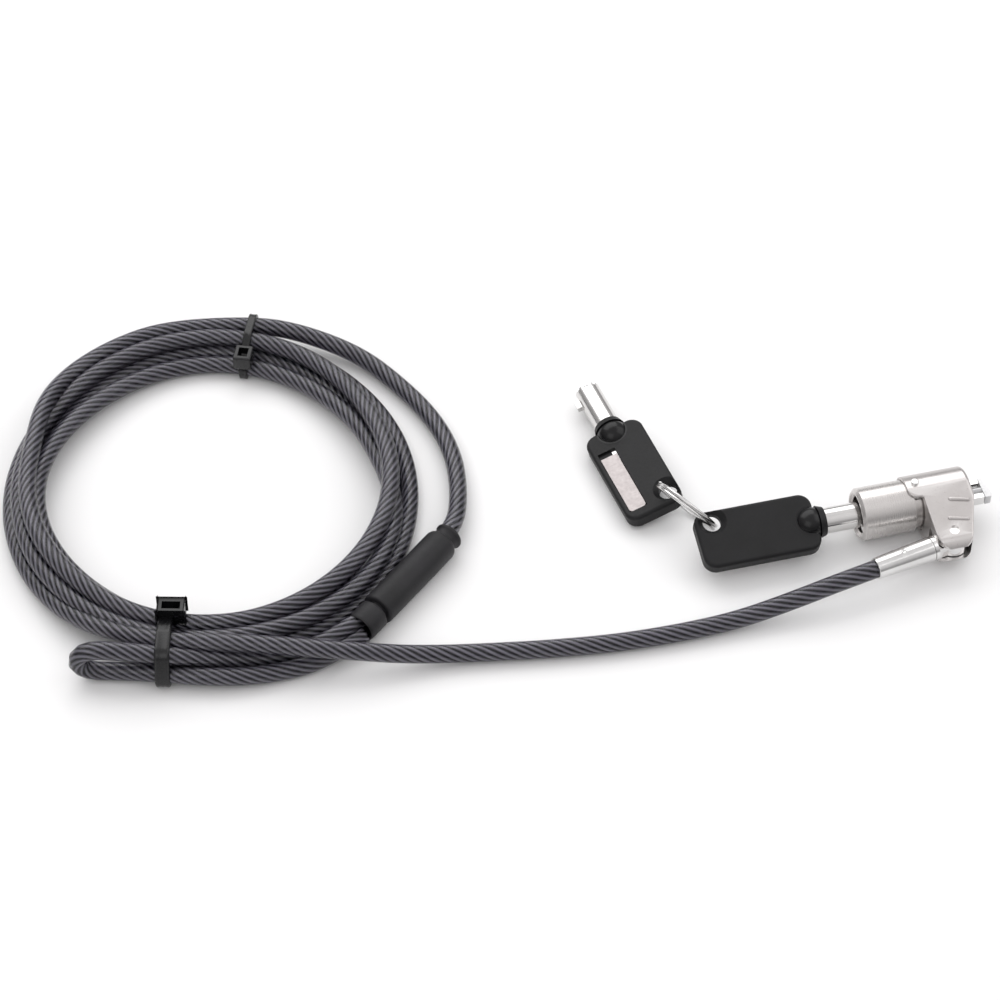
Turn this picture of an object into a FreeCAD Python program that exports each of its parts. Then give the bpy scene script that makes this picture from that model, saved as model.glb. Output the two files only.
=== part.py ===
import FreeCAD, Part
import math
import os

from FreeCAD import Placement, Rotation, Vector

# Laptop cable lock: a T-bar lock head on a swivelling yoke, 1.8 m of jacketed steel
# cable in a tied coil with a crimped eye, and two tubular keys on a split ring.
# Millimetres, +Z up, z = 0 is the table. The lock's axis runs along +X and the
# mouth of the lock is at x = MOUTH_X, y = MOUTH_Y.

# ---- driving dimensions ----
MOUTH_X = 11.82               # where the lock's mouth lies in the part's own frame
MOUTH_Y = -19.64
SEAT = 0.05                  # running clearance on a radius

CABLE_R = 2.25               # jacketed cable
BARREL_R = 6.55
YOKE_R = 7.2
AXIS_Z = YOKE_R              # the yoke's sleeve is what touches the table
BARREL_END = 16.6            # end of the barrel's full diameter
SPIGOT_R = 5.2
SPIGOT_END = 27.0
NOSE_X = 28.3                # flat face that meets the laptop's case
MOUTH_R = 4.7
MOUTH_DEPTH = 4.8
CORE_R = 4.66                # bore for the plug and the pin housing
SHEAR_X = 10.0               # shear plane between plug and pin housing
HOUSING_END = 17.0
THROAT_R = 3.4

POST_R = 2.6
SPINDLE_R = 1.6
NECK_R = 1.15
TBAR_X = 32.4                # rear face of the crosshead
TBAR_LEN = 1.8
TBAR_HALF = 3.1
SLOT_HALF = 1.3              # half height of crosshead and guide posts, for a 3 mm slot
GUIDE_IN = 1.6
GUIDE_OUT = 3.0

PIN_COUNT = 7
PIN_R = 0.55
PIN_CIRCLE = 3.2
PIN_STEP = 45.0              # degrees between pins; the eighth place holds the drive nub
CUT_DEPTHS = (0.3, 0.9, 0.6, 1.2, 0.3, 0.9, 0.6)

KEY_R = 3.225
KEY_BORE = 2.68
KEY_TIP = 16.5               # from the bow's boss to the tip of the tube
KEY_IN = 4.7                 # how far the tip stands inside the mouth
BOW_FRONT = 1.3
BOW_FAR = -28.6
BOW_HALF = 7.65
BOW_THICK = 4.0
BOW_CORNER = 3.2
BOSS_R = 4.1
HOLE_U = -24.0
HOLE_V = -4.75
HOLE_R = 2.3
KEY_B_TILT = 196.0           # turned over, with the near edge low
KEY_A_YAW = 98.0
KEY_A_ROLL = 14.0
KEY_A_BOSS = Vector(-50.2, 43.0, 4.15)

RING_R = 9.6                 # mean radius of the split ring
RING_WIRE = 0.8              # height of one turn of the flat wire
RING_WALL = 1.0
RING_LEAN = (0.564, 0.051, -0.824)

PIVOT = Vector(20.3, -13.9, AXIS_Z)
PIVOT_R = 1.2
ARM_R = 4.7
NOSE_ROUND = 1.0
EDGE_ROUND = 0.4
ARM_LEFT = 15.6
TAB_LEFT = 12.2
SLOT_GAP = 2.0
TONGUE = 1.7
FERRULE_ANGLE = 190.7
FERRULE_START = 6.2
FERRULE_END = 21.6
CABLE_SEAT = 15.0            # distance from the pivot to the cable's end in the ferrule

COIL_C = Vector(-152.6, 48.7, 0)
COIL_TURN = 82.0               # direction of the oval's long axis, in degrees
COIL_OUTER = (55.4, 52.3)      # half axes of the oval outside
COIL_INNER = (42.6, 41.0)      # and inside
COIL_OUTER_SHIFT = 3.2         # how far each oval's centre is moved along the long axis
COIL_INNER_SHIFT = 1.8
COIL_TOP = 11.4
COIL_ROUND = [(0, 2.6), (1.2, 0.9), (3.2, 0), (COIL_TOP - 3.2, 0), (COIL_TOP - 1.2, 0.9), (COIL_TOP, 2.6)]

SLEEVE_A = Vector(-97.9, 20.3, 4.4)
SLEEVE_B = Vector(-126.0, -3.7, 4.4)
SLEEVE_R = 4.2
COLLAR_R = 3.6
COLLAR_LEN = 3.4
NECK_LEN = 6.0                 # the narrower end, from the groove to the open end
GROOVE_LEN = 1.2
CRIMP_LEN = 14.0
LEG_SIDE = 1.7                 # how far each leg of the eye leaves the sleeve's axis, sideways
LEG_RISE = 1.6                 # and up or down

X = Vector(1, 0, 0)
Y = Vector(0, 1, 0)
Z = Vector(0, 0, 1)
SLACK = Vector(0.05, 0.05, 0.05)


# ---- helpers ----
def rod(x0, x1, r, y=0.0, z=AXIS_Z):
    """A cylinder along X."""
    return Part.makeCylinder(r, x1 - x0, Vector(x0, y, z), X)


def tube(x0, x1, r, bore):
    return rod(x0, x1, r).cut(rod(x0 - 1, x1 + 1, bore))


def block(x0, x1, y0, y1, z0, z1):
    return Part.makeBox(x1 - x0, y1 - y0, z1 - z0, Vector(x0, y0, z0))


def outline(points):
    """A closed polygon."""
    return Part.makePolygon(points + points[:1])


def arc(centre, r, a0, a1):
    """A horizontal arc from a0 to a1 degrees."""
    at = [centre + Vector(r * math.cos(math.radians(a)), r * math.sin(math.radians(a)), 0)
          for a in (a0, (a0 + a1) / 2, a1)]
    return Part.Arc(*at).toShape()


def line(a, b):
    return Part.LineSegment(a, b).toShape()


def pin_angles(turned=KEY_B_TILT):
    """The pins' places about the axis, turned with the key that is in the lock."""
    return [math.radians(turned + PIN_STEP * (k + 1)) for k in range(PIN_COUNT)]


def pin_place(angle):
    return PIN_CIRCLE * math.cos(angle), AXIS_Z + PIN_CIRCLE * math.sin(angle)


def edges_in(shape, low, high):
    """The shape's edges that lie inside a box."""
    room = FreeCAD.BoundBox(Vector(*low) - SLACK, Vector(*high) + SLACK)
    return [e for e in shape.Edges if room.isInside(e.BoundBox)]


def group(solids):
    return Part.makeCompound(solids)


def save(name, shape):
    placed = shape.copy()
    placed.translate(Vector(MOUTH_X, MOUTH_Y, 0))
    placed.exportStep("parts/" + name + ".step")


# ---- cable ----
def fillet_radii(points):
    """The largest tangent arc that each inner point's two runs allow."""
    radii = []
    for a, b, c in zip(points, points[1:], points[2:]):
        turn = (b - a).getAngle(c - b)
        run = min((b - a).Length, (c - b).Length)
        radii.append(0.45 * run / math.tan(turn / 2))
    return radii


def cord_wire(points):
    """Straight runs joined by tangent arcs."""
    edges = []
    at = points[0]
    for k, r in enumerate(fillet_radii(points)):
        a, b, c = points[k], points[k + 1], points[k + 2]
        back = (a - b).normalize()
        ahead = (c - b).normalize()
        reach = r * math.tan((b - a).getAngle(c - b) / 2)
        start = b + back * reach
        end = b + ahead * reach
        middle = (back + ahead).normalize()
        gap = math.hypot(r, reach) - r
        edges.append(line(at, start))
        edges.append(Part.Arc(start, b + middle * gap, end).toShape())
        at = end
    edges.append(line(at, points[-1]))
    return Part.Wire(edges)


def cord_tube(name, points):
    wire = cord_wire(points)
    start = Part.Circle(points[0], points[1] - points[0], CABLE_R).toShape()
    tube_solid = wire.makePipeShell([Part.Wire([start])], True, False)
    section = math.pi * CABLE_R ** 2
    print(name, "length %.1f" % wire.Length,
          "radii", ["%.0f" % r for r in fillet_radii(points)],
          "volume over section times length %.4f" % (tube_solid.Volume / section / wire.Length))
    return tube_solid


def ferrule_dir():
    a = math.radians(FERRULE_ANGLE)
    return Vector(math.cos(a), math.sin(a), 0)


def run_points():
    """From the cable's end inside the ferrule down to the table and in to the coil."""
    return [
        PIVOT + ferrule_dir() * CABLE_SEAT,
        PIVOT + ferrule_dir() * 29.5,
        Vector(-23, -22.0, 4.7),
        Vector(-37, -23.2, 2.8),
        Vector(-51, -25.6, 4.0),
        Vector(-66, -23.6, 3.2),
        Vector(-82, -19.9, 2.4),
        Vector(-96, -17.0, 2.4),
        Vector(-108, -15.1, 2.9),
        Vector(-119, -13.8, 4.6),
        Vector(-129, -12.1, 6.7),
        Vector(-138.5, -9.9, 7.9),
        Vector(-147, -7.1, 8.4),
    ]


def tail_points():
    """The last half turn, which stands off the coil, and runs into the eye's sleeve."""
    return [
        Vector(-143, 105.0, 6.4),
        Vector(-131, 102.4, 5.8),
        Vector(-119, 97.2, 4.6),
        Vector(-107, 88.0, 3.1),
        Vector(-98.5, 75.5, 2.4),
        Vector(-92.6, 62.0, 2.3),
        Vector(-90.4, 48.0, 2.4),
        Vector(-92.3, 34.0, 3.0),
        SLEEVE_A + Vector(1.2, 1.1, 0),
    ]


def leg_start(side):
    """Where a leg of the eye leaves the sleeve's open end; side is 1 for the upper leg, -1 for the lower."""
    along = (SLEEVE_B - SLEEVE_A).normalize()
    across = along.cross(Z)
    return SLEEVE_B + across * (side * LEG_SIDE) + Z * (side * LEG_RISE)


def eye_points():
    """The eye's two legs: side by side at the sleeve, one over the other from the tie to the hairpin."""
    return [
        leg_start(1),
        Vector(-134.5, -5.4, 4.0),
        Vector(-144, -6.3, 2.6),
        Vector(-154, -5.8, 3.2),
        Vector(-163.5, -4.7, 5.5),
        Vector(-173, -3.0, 7.9),
        Vector(-182, -0.9, 9.8),
        Vector(-191.5, 0.9, 11.5),
        Vector(-194, 1.2, 6.9),
        Vector(-191.5, 0.5, 2.35),
        Vector(-184, -1.7, 2.4),
        Vector(-175, -5.3, 3.3),
        Vector(-166, -8.2, 3.5),
        Vector(-156, -10.4, 3.0),
        Vector(-146, -10.8, 2.4),
        Vector(-136.5, -9.6, 2.4),
        leg_start(-1),
    ]


def oval_column(half_axes, shift, grow):
    """An upright oval column as high as the coil; its ends are narrower, or wider where grow is -1."""
    wires = []
    for z, inset in COIL_ROUND:
        ellipse = Part.Ellipse(Vector(shift, 0, z), *[half - grow * inset for half in half_axes])
        wires.append(Part.Wire(ellipse.toShape()))
    column = Part.makeLoft(wires, True, True)
    column.Placement = tie_frame(COIL_TURN)
    return column


def coil_body():
    """The coil as one closed oval ring with a rounded section."""
    outside = oval_column(COIL_OUTER, COIL_OUTER_SHIFT, 1)
    return outside.cut(oval_column(COIL_INNER, COIL_INNER_SHIFT, -1))


def tie_frame(angle):
    """A placement with X radially out from the coil's centre and Z up."""
    return Placement(COIL_C, Rotation(Z, angle))


def tie(angle, width, wall, inside, head_at, head_size):
    """A cable tie: a closed band around the section, and the head block that locks it."""
    loop = Part.Face(outline([Vector(r, -width / 2, z) for r, z in inside]))
    hole = loop.extrude(Vector(0, width, 0))
    wider = Part.Wire(outline([Vector(r, -width / 2, z) for r, z in inside]))
    band = Part.Face(wider.makeOffset2D(wall, 0)).extrude(Vector(0, width, 0)).cut(hole)
    r, z = head_at
    sx, sy, sz = head_size
    head = Part.makeBox(sx, sy, sz, Vector(r - sx, -sy / 2, z))
    head = head.makeFillet(0.5, head.Edges)
    window = Part.makeBox(sx / 3, sy / 2, 1.5, Vector(r - sx * 0.7, -sy / 4, z + sz - 1.3))
    shape = band.fuse(head).cut(window).removeSplitter()
    shape.Placement = tie_frame(angle)
    return shape


TIE_TOP = dict(angle=68.0, width=2.1, wall=0.9, head_at=(47.6, 4.6), head_size=(5.2, 4.7, 4.0),
               inside=[(44.2, 0.9), (44.2, 3.4), (50.8, 8.4), (58.2, 8.8),
                       (60.2, 6.6), (60.2, 4.2), (58.2, 0.9)])
TIE_BOTTOM = dict(angle=248.2, width=3.6, wall=1.0, head_at=(45.4, 7.8), head_size=(4.4, 6.6, 4.3),
                  inside=[(40.1, 1.0), (40.1, 3.4), (43.4, 8.2), (51.4, 11.0), (56.6, 10.6), (58.5, 8.8),
                          (61.2, 4.6), (61.2, 2.2), (60.0, 1.0)])


def coil_and_ties(beside):
    """The coil, hollowed where its ties and the pieces beside it press in."""
    coil = coil_body().cut(beside)
    for name, spec in (("cable_tie_top", TIE_TOP), ("cable_tie_bottom", TIE_BOTTOM)):
        shape = tie(**spec)
        save(name, shape)
        wide = spec["width"] + 0.2
        gap = Part.makeBox(30, wide, spec["wall"] + 0.1, Vector(35, -wide / 2, 0))
        gap.Placement = tie_frame(spec["angle"])
        coil = coil.cut([gap, shape])
    save("cable_coil", max(coil.Solids, key=lambda s: s.Volume))


def eye_fittings():
    """The crimp that closes the eye and its two-piece black cover."""
    along = (SLEEVE_B - SLEEVE_A).normalize()
    total = (SLEEVE_B - SLEEVE_A).Length
    crease = 0.5
    lip = 1.1
    collar = Part.makeCylinder(COLLAR_R, lip, SLEEVE_A, along)
    collar = collar.fuse(Part.makeCylinder(COLLAR_R - 0.3, COLLAR_LEN - lip, SLEEVE_A + along * lip, along))
    collar = collar.cut(Part.makeCylinder(CABLE_R, COLLAR_LEN, SLEEVE_A, along)).removeSplitter()
    body_len = total - COLLAR_LEN - GROOVE_LEN - NECK_LEN
    body = Part.makeCylinder(SLEEVE_R, body_len, SLEEVE_A + along * COLLAR_LEN, along)
    body = body.makeFillet(crease, [e for e in body.Edges if e.Closed])
    groove_at = SLEEVE_A + along * (COLLAR_LEN + body_len)
    neck = Part.makeCone(SLEEVE_R - 0.3, SLEEVE_R - 0.5, NECK_LEN, groove_at + along * GROOVE_LEN, along)
    cover = body.fuse([
        Part.makeCylinder(SLEEVE_R - 1.0, GROOVE_LEN + crease, groove_at - along * crease, along),
        neck.makeFillet(0.3, [e for e in neck.Edges if e.Closed]),
    ])
    crimp_at = SLEEVE_A + along * (total / 2 - CRIMP_LEN / 2)
    crimp = Part.makeCylinder(3.1, CRIMP_LEN, crimp_at, along)
    cover = cover.cut(crimp).removeSplitter()
    save("eye_sleeve_collar", collar)
    save("eye_sleeve", cover)
    save("eye_crimp", crimp)
    return cover


# ---- ferrule ----
def ferrule():
    d = ferrule_dir()
    sleeve = Part.makeCone(3.1, 2.65, FERRULE_END - FERRULE_START, PIVOT + d * FERRULE_START, d)
    sleeve = sleeve.makeFillet(0.3, [e for e in sleeve.Edges if e.Closed])
    sleeve = sleeve.cut([
        Part.makeCylinder(CABLE_R, 20, PIVOT + d * CABLE_SEAT, d),
        Part.makeCylinder(1.8, 3.0, PIVOT + d * FERRULE_START, d),
        Part.makeSphere(0.9, PIVOT + d * 14 + Z * 3.45),
    ])
    save("cable_ferrule", sleeve)
    bar = Part.makeBox(5.4, 4.6, 2 * TONGUE, Vector(0, -2.3, -TONGUE))
    bar.Placement = Placement(PIVOT, Rotation(Z, FERRULE_ANGLE))
    eye = Part.makeCylinder(3.4, 2 * TONGUE, PIVOT - Z * TONGUE, Z)
    tongue = eye.fuse([
        bar,
        Part.makeCylinder(3.1, 1.0, PIVOT + d * (FERRULE_START - 1.0), d),
        Part.makeCylinder(1.8, 3.6, PIVOT + d * (FERRULE_START - 0.8), d),
    ])
    hole = Part.makeCylinder(PIVOT_R + SEAT, 10, PIVOT - Z * 5, Z)
    save("ferrule_tongue", tongue.cut(hole).removeSplitter())


# ---- yoke ----
def teardrop():
    """Section of the yoke: the sleeve's circle running tangentially into the arm's smaller end."""
    lean = math.asin((YOKE_R - 4.0) / -PIVOT.y)
    up = Vector(0, -math.sin(lean), math.cos(lean))
    down = Vector(0, -math.sin(lean), -math.cos(lean))
    centre = Vector(TAB_LEFT, 0, AXIS_Z)
    small = Vector(TAB_LEFT, PIVOT.y - ARM_R + 4.0, AXIS_Z)
    back = Part.Arc(centre + up * YOKE_R, centre + Y * YOKE_R, centre + down * YOKE_R).toShape()
    end = Part.Arc(small + down * 4.0, small - Y * 4.0, small + up * 4.0).toShape()
    wire = Part.Wire([back, line(centre + down * YOKE_R, small + down * 4.0), end,
                      line(small + up * 4.0, centre + up * YOKE_R)])
    return Part.Face(wire).extrude(Vector(NOSE_X - TAB_LEFT, 0, 0))


def arm_outline(z0, z1):
    """The yoke seen from above: straight left edge, round end about the pivot, slanted right edge."""
    centre = Vector(PIVOT.x, PIVOT.y, z0)
    a0, a1 = 180.0, 342.0
    left = centre + Vector(-ARM_R, 0, 0)
    right = centre + Vector(ARM_R * math.cos(math.radians(a1)), ARM_R * math.sin(math.radians(a1)), 0)
    corner = Vector(NOSE_X, -5.0, z0)
    top_right = Vector(NOSE_X, 10, z0)
    top_left = Vector(ARM_LEFT, 10, z0)
    wire = Part.Wire([arc(centre, ARM_R, a0, a1), line(right, corner), line(corner, top_right),
                      line(top_right, top_left), line(top_left, left)])
    return Part.Face(wire).extrude(Vector(0, 0, z1 - z0))


def yoke_tab():
    """The rounded tongue of the sleeve that reaches over the barrel and holds the swivel pin."""
    z0 = AXIS_Z + 1.0
    tab = block(TAB_LEFT, ARM_LEFT + 1, -3.4, 8, z0, 20)
    corner = [e for e in tab.Edges if e.BoundBox.XMax < TAB_LEFT + 0.1 and e.BoundBox.ZLength > 5]
    return tab.makeFillet(2.4, corner)


def yoke_ribs():
    lean = math.asin((YOKE_R - 4.0) / -PIVOT.y)
    ribs = []
    for x, y in ((21.9, -5.6), (20.2, -10.6)):
        z = AXIS_Z + (YOKE_R + math.sin(lean) * y) / math.cos(lean)
        along = Vector(4.2, -1.0, -0.25)
        start = Vector(x, y, z - 0.1)
        ribs += [Part.makeCylinder(0.6, along.Length, start, along),
                 Part.makeSphere(0.6, start), Part.makeSphere(0.6, start + along)]
    return ribs


def yoke_outside():
    """The yoke's outer form with its edges rounded, before anything is bored."""
    body = teardrop().common(arm_outline(-1, 20).fuse(yoke_tab())).removeSplitter()
    body = body.makeFillet(NOSE_ROUND, edges_in(body, (NOSE_X, -5, 0), (NOSE_X, YOKE_R, 2 * YOKE_R)))
    top = 2 * YOKE_R
    tab = edges_in(body, (TAB_LEFT, -1.7, 11.7), (TAB_LEFT + 0.1, 5.6, top))
    tab += edges_in(body, (TAB_LEFT, -3.4, 13.8), (ARM_LEFT - 1, -1.6, top))
    low_end = PIVOT.y - ARM_R
    cheeks = edges_in(body, (ARM_LEFT, low_end, 0), (ARM_LEFT, -1.6, top))
    cheeks += edges_in(body, (ARM_LEFT, low_end, 0), (ARM_LEFT + 9.2, PIVOT.y, 3.4))
    cheeks += edges_in(body, (ARM_LEFT, low_end, AXIS_Z + 3.8), (ARM_LEFT + 9.2, PIVOT.y, AXIS_Z + 4.3))
    cheeks += edges_in(body, (ARM_LEFT + 0.2, low_end, 3.3), (ARM_LEFT + 9.2, -15.5, AXIS_Z + 3.9))
    slant = edges_in(body, (ARM_LEFT + 9, -15.4, 0), (NOSE_X, -4.9, top))
    slant = [e for e in slant if e.BoundBox.YLength > 3]
    return body.makeFillet(EDGE_ROUND, unique(tab + cheeks + slant))


def unique(edges):
    kept = []
    for e in edges:
        if not any(e.isSame(k) for k in kept):
            kept.append(e)
    return kept


def yoke():
    body = yoke_outside()
    slot_top = PIVOT.y + 4.0
    slot = block(5, PIVOT.x, -25, slot_top, AXIS_Z - SLOT_GAP, AXIS_Z + SLOT_GAP).fuse([
        block(5, PIVOT.x + 4.0, -25, PIVOT.y, AXIS_Z - SLOT_GAP, AXIS_Z + SLOT_GAP),
        Part.makeCylinder(4.0, 2 * SLOT_GAP, PIVOT - Z * SLOT_GAP, Z),
    ])
    body = body.cut([
        rod(BARREL_END + 0.15, 40, SPIGOT_R + SEAT),
        rod(0, BARREL_END + 0.15, BARREL_R + 0.1),
        rod(SPIGOT_END - 0.05, 40, 6.1),
        slot,
        Part.makeCylinder(PIVOT_R, 20, PIVOT - Z * 10, Z),
        Part.makeCylinder(1.0, 20, Vector(14.7, 0.6, AXIS_Z), Z),
    ])
    body = max(body.Solids, key=lambda s: s.Volume)
    ribs = Part.makeCompound(yoke_ribs())
    save("yoke", body.fuse(ribs.Solids).removeSplitter())
    save("yoke_pivot_pin", Part.makeCylinder(PIVOT_R, 8.0, PIVOT - Z * 4.0, Z))
    pin = Part.makeCylinder(1.0, 1.9, Vector(14.7, 0.6, AXIS_Z + 5.95), Z)
    save("swivel_pin", pin.makeFillet(0.3, [e for e in pin.Edges if e.BoundBox.ZMin > AXIS_Z + 7]))


# ---- lock barrel ----
def barrel():
    body = rod(0, BARREL_END, BARREL_R)
    body = body.makeChamfer(0.7, [e for e in body.Edges if e.Closed])
    body = body.fuse(rod(BARREL_END - 1, SPIGOT_END, SPIGOT_R))
    groove = tube(13.5, 15.9, BARREL_R + 1, 5.85)
    mouth = Part.makeCone(MOUTH_R + 0.7, MOUTH_R, 0.7, Vector(0, 0, AXIS_Z), X)
    body = body.cut([groove, rod(-1, MOUTH_DEPTH, MOUTH_R), mouth, rod(MOUTH_DEPTH, HOUSING_END, CORE_R),
                     rod(HOUSING_END, 40, THROAT_R), cross_pin_bore()])
    save("lock_barrel", body.removeSplitter())


def cross_pin_bore():
    return Part.makeCylinder(0.6, 8, Vector(12.2, 0, AXIS_Z - 8), Z)


def pin_housing():
    body = rod(SHEAR_X + 0.05, HOUSING_END, CORE_R - 0.01).cut(rod(0, 40, SPINDLE_R + SEAT))
    drivers, springs = [], []
    for angle in pin_angles():
        y, z = pin_place(angle)
        body = body.cut(rod(SHEAR_X, HOUSING_END - 0.6, PIN_R + SEAT, y, z))
        drivers.append(rod(SHEAR_X + 0.08, SHEAR_X + 2.4, PIN_R, y, z))
        springs.append(spring(SHEAR_X + 2.55, HOUSING_END - 0.75, y, z))
    body = body.cut(cross_pin_bore())
    save("pin_housing", body.removeSplitter())
    save("housing_cross_pin", Part.makeCylinder(0.6, 2.6, Vector(12.2, 0, AXIS_Z - 6.4), Z))
    save("driver_pins", group(drivers))
    save("driver_springs", group(springs))


def spring(x0, x1, y, z):
    """An open coil spring along X."""
    wire = 0.09
    turns = 6
    helix = Part.makeHelix((x1 - x0) / turns, x1 - x0, PIN_R - wire - 0.03)
    start = Part.Wire([Part.Circle(Vector(PIN_R - wire - 0.03, 0, 0), Y, wire).toShape()])
    coil = Part.Wire(helix).makePipeShell([start], True, True)
    coil.Placement = Placement(Vector(x0, y, z), Rotation(Y, 90))
    return coil


def nose_block():
    """Front flange that holds the yoke on, with the two guide posts beside the T-bar."""
    body = rod(21.5, SPIGOT_END, THROAT_R - 0.01).fuse(rod(SPIGOT_END + 0.01, NOSE_X - 0.05, 6.0))
    body = body.fuse(rod(SPIGOT_END - 1, SPIGOT_END + 0.5, THROAT_R - 0.01))
    for side in (-1, 1):
        y0, y1 = sorted((side * GUIDE_IN, side * GUIDE_OUT))
        post = block(SPIGOT_END, TBAR_X - 0.2, y0, y1, AXIS_Z - SLOT_HALF, AXIS_Z + SLOT_HALF)
        body = body.fuse(post)
    body = body.cut([rod(20, 26.6, SPINDLE_R + SEAT), rod(20, 40, NECK_R + SEAT)])
    save("nose_block", body.removeSplitter())


# ---- rotor ----
def plug():
    body = rod(MOUTH_DEPTH + 0.05, SHEAR_X, CORE_R - SEAT).fuse(rod(1.2, 6, POST_R))
    nub = block(3.2, MOUTH_DEPTH + 0.5, POST_R - 0.6, KEY_R, AXIS_Z - 0.45, AXIS_Z + 0.45)
    nub.rotate(Vector(0, 0, AXIS_Z), X, KEY_B_TILT)
    body = body.fuse(nub)
    pins = []
    for angle, cut in zip(pin_angles(), CUT_DEPTHS):
        y, z = pin_place(angle)
        body = body.cut(rod(MOUTH_DEPTH - 2, SHEAR_X + 1, PIN_R + SEAT, y, z))
        pins.append(rod(KEY_IN - cut + 0.06, SHEAR_X - 0.02, PIN_R, y, z))
    body = body.cut(rod(SHEAR_X - 2.5, SHEAR_X + 1, SPINDLE_R))
    save("lock_plug", body.removeSplitter())
    save("key_pins", group(pins))


def spindle():
    body = rod(SHEAR_X - 2.5, 26.4, SPINDLE_R)
    clip_groove = tube(HOUSING_END + 0.3, HOUSING_END + 0.9, SPINDLE_R + 1, 1.2)
    body = body.cut([clip_groove, rod(23.4, 27, NECK_R)])
    save("spindle", body)
    clip = tube(HOUSING_END + 0.32, HOUSING_END + 0.88, 2.9, 1.2)
    clip = clip.cut(block(HOUSING_END, HOUSING_END + 2, -0.8, 0.8, AXIS_Z, AXIS_Z + 4))
    save("spindle_clip", clip)
    head = block(TBAR_X, TBAR_X + TBAR_LEN, -TBAR_HALF, TBAR_HALF, AXIS_Z - SLOT_HALF, AXIS_Z + SLOT_HALF)
    ends = [e for e in head.Edges if e.BoundBox.ZLength > 1 and e.BoundBox.XMin > TBAR_X + 1]
    head = head.makeFillet(0.7, ends)
    save("t_bar", head.fuse(rod(23.4, TBAR_X + 0.5, NECK_R)).removeSplitter())


# ---- keys, in the key's own frame: X to the tip, Z out of the face with the label plate ----
def key_tube():
    body = Part.makeCylinder(KEY_R, KEY_TIP + 1.5, Vector(-1.5, 0, 0), X)
    lug = Part.makeBox(2.4, 3.2, 1.5, Vector(KEY_TIP - 4.2, 1.25, -0.75))
    tang = Part.makeBox(9, 5.2, 2.6, Vector(-9, -2.6, -1.3))
    body = body.fuse([lug, tang]).cut(Part.makeCylinder(KEY_BORE, 30, Vector(1.5, 0, 0), X))
    cuts = [Part.makeBox(2.0, 4, 1.1, Vector(KEY_TIP - 1.6, 1, -0.55))]
    for angle, depth in zip(pin_angles(0), CUT_DEPTHS):
        at = Vector(KEY_TIP - depth, PIN_CIRCLE * math.cos(angle), PIN_CIRCLE * math.sin(angle))
        cuts.append(Part.makeCylinder(PIN_R + 0.07, 4, at, X))
    return body.cut(cuts).removeSplitter()


def key_bow():
    corner = Vector(BOW_FAR, -BOW_HALF, -BOW_THICK / 2)
    slab = Part.makeBox(BOW_FRONT - BOW_FAR, 2 * BOW_HALF, BOW_THICK, corner)
    slab = slab.makeFillet(BOW_CORNER, [e for e in slab.Edges if e.BoundBox.ZLength > 1])
    slab = slab.makeFillet(0.9, [e for e in slab.Edges if e.BoundBox.ZLength < 0.01])
    neck = Part.makeCone(BOSS_R, KEY_R + 0.35, 1.6, Vector(1.8, 0, 0), X)
    slab = slab.fuse([Part.makeSphere(BOSS_R, Vector(0, 0, 0), X), neck])
    hole_at = Vector(HOLE_U, HOLE_V, 0)
    recess = Part.makeBox(20.6, 4.7, 1, Vector(-25.8, 1.5, BOW_THICK / 2 - 0.7))
    return slab.cut([
        Part.makeCylinder(KEY_R, 40, Vector(-1.5, 0, 0), X),
        Part.makeBox(9, 5.2, 2.6, Vector(-9, -2.6, -1.3)),
        Part.makeCylinder(HOLE_R, 10, hole_at - Z * 5, Z),
        Part.makeCone(HOLE_R, HOLE_R + 1.4, 1.4, hole_at + Z * 0.7, Z),
        Part.makeCone(HOLE_R, HOLE_R + 1.4, 1.4, hole_at - Z * 0.7, Z * -1),
        recess,
    ]).removeSplitter()


def key_plate():
    plate = Part.makeBox(18.7, 4.4, 0.45, Vector(-25.65, 1.65, BOW_THICK / 2 - 0.7))
    far = [e for e in plate.Edges if e.BoundBox.ZLength > 0.4 and e.BoundBox.XMin < -25]
    return plate.makeFillet(0.9, far)


def key_b_place():
    boss = Vector(KEY_IN - KEY_TIP, 0, AXIS_Z)
    return Placement(boss, Rotation(X, KEY_B_TILT))


def key_a_place():
    return Placement(KEY_A_BOSS, Rotation(Z, KEY_A_YAW).multiply(Rotation(X, -KEY_A_ROLL)))


def hole_centre(place):
    return place.multVec(Vector(HOLE_U, HOLE_V, 0))


def keys():
    for name, place in (("key_b", key_b_place()), ("key_a", key_a_place())):
        for piece, shape in (("tube", key_tube()), ("bow", key_bow()), ("label_plate", key_plate())):
            shape.Placement = place.multiply(shape.Placement)
            save(name + "_" + piece, shape)


def ring_frame():
    """Centre and normal of the ring that runs through both bows' holes."""
    a = hole_centre(key_a_place())
    b = hole_centre(key_b_place())
    chord = b - a
    lean = Vector(*RING_LEAN)
    normal = chord.cross(lean).normalize()
    up = chord.cross(normal).normalize()
    if up.z < 0:
        up = up * -1
    offset = math.sqrt(RING_R ** 2 - (chord.Length / 2) ** 2)
    return (a + b) * 0.5 + up * offset, normal


def split_ring():
    """Two turns of flat wire, one on the other, joined where the wire steps across."""
    centre, normal = ring_frame()
    turns = []
    for k in (-1, 1):
        base = Vector(0, 0, 0 if k > 0 else -RING_WIRE)
        outer = Part.makeCylinder(RING_R + RING_WALL / 2, RING_WIRE, base, Z)
        inner = Part.makeCylinder(RING_R - RING_WALL / 2, RING_WIRE, base, Z)
        gap = Part.makeBox(20, 0.4, 3, Vector(0, -0.2 + k * 0.6, -RING_WIRE - 1 if k < 0 else 0.0))
        gap.Placement = Placement(Vector(0, 0, 0), Rotation(Z, 60)).multiply(gap.Placement)
        turn = outer.cut(inner)
        turns.append(turn.cut(gap))
    ring = turns[0].fuse(turns[1]).removeSplitter()
    ring.Placement = Placement(centre, Rotation(Z, normal))
    save("split_ring", ring)


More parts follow.
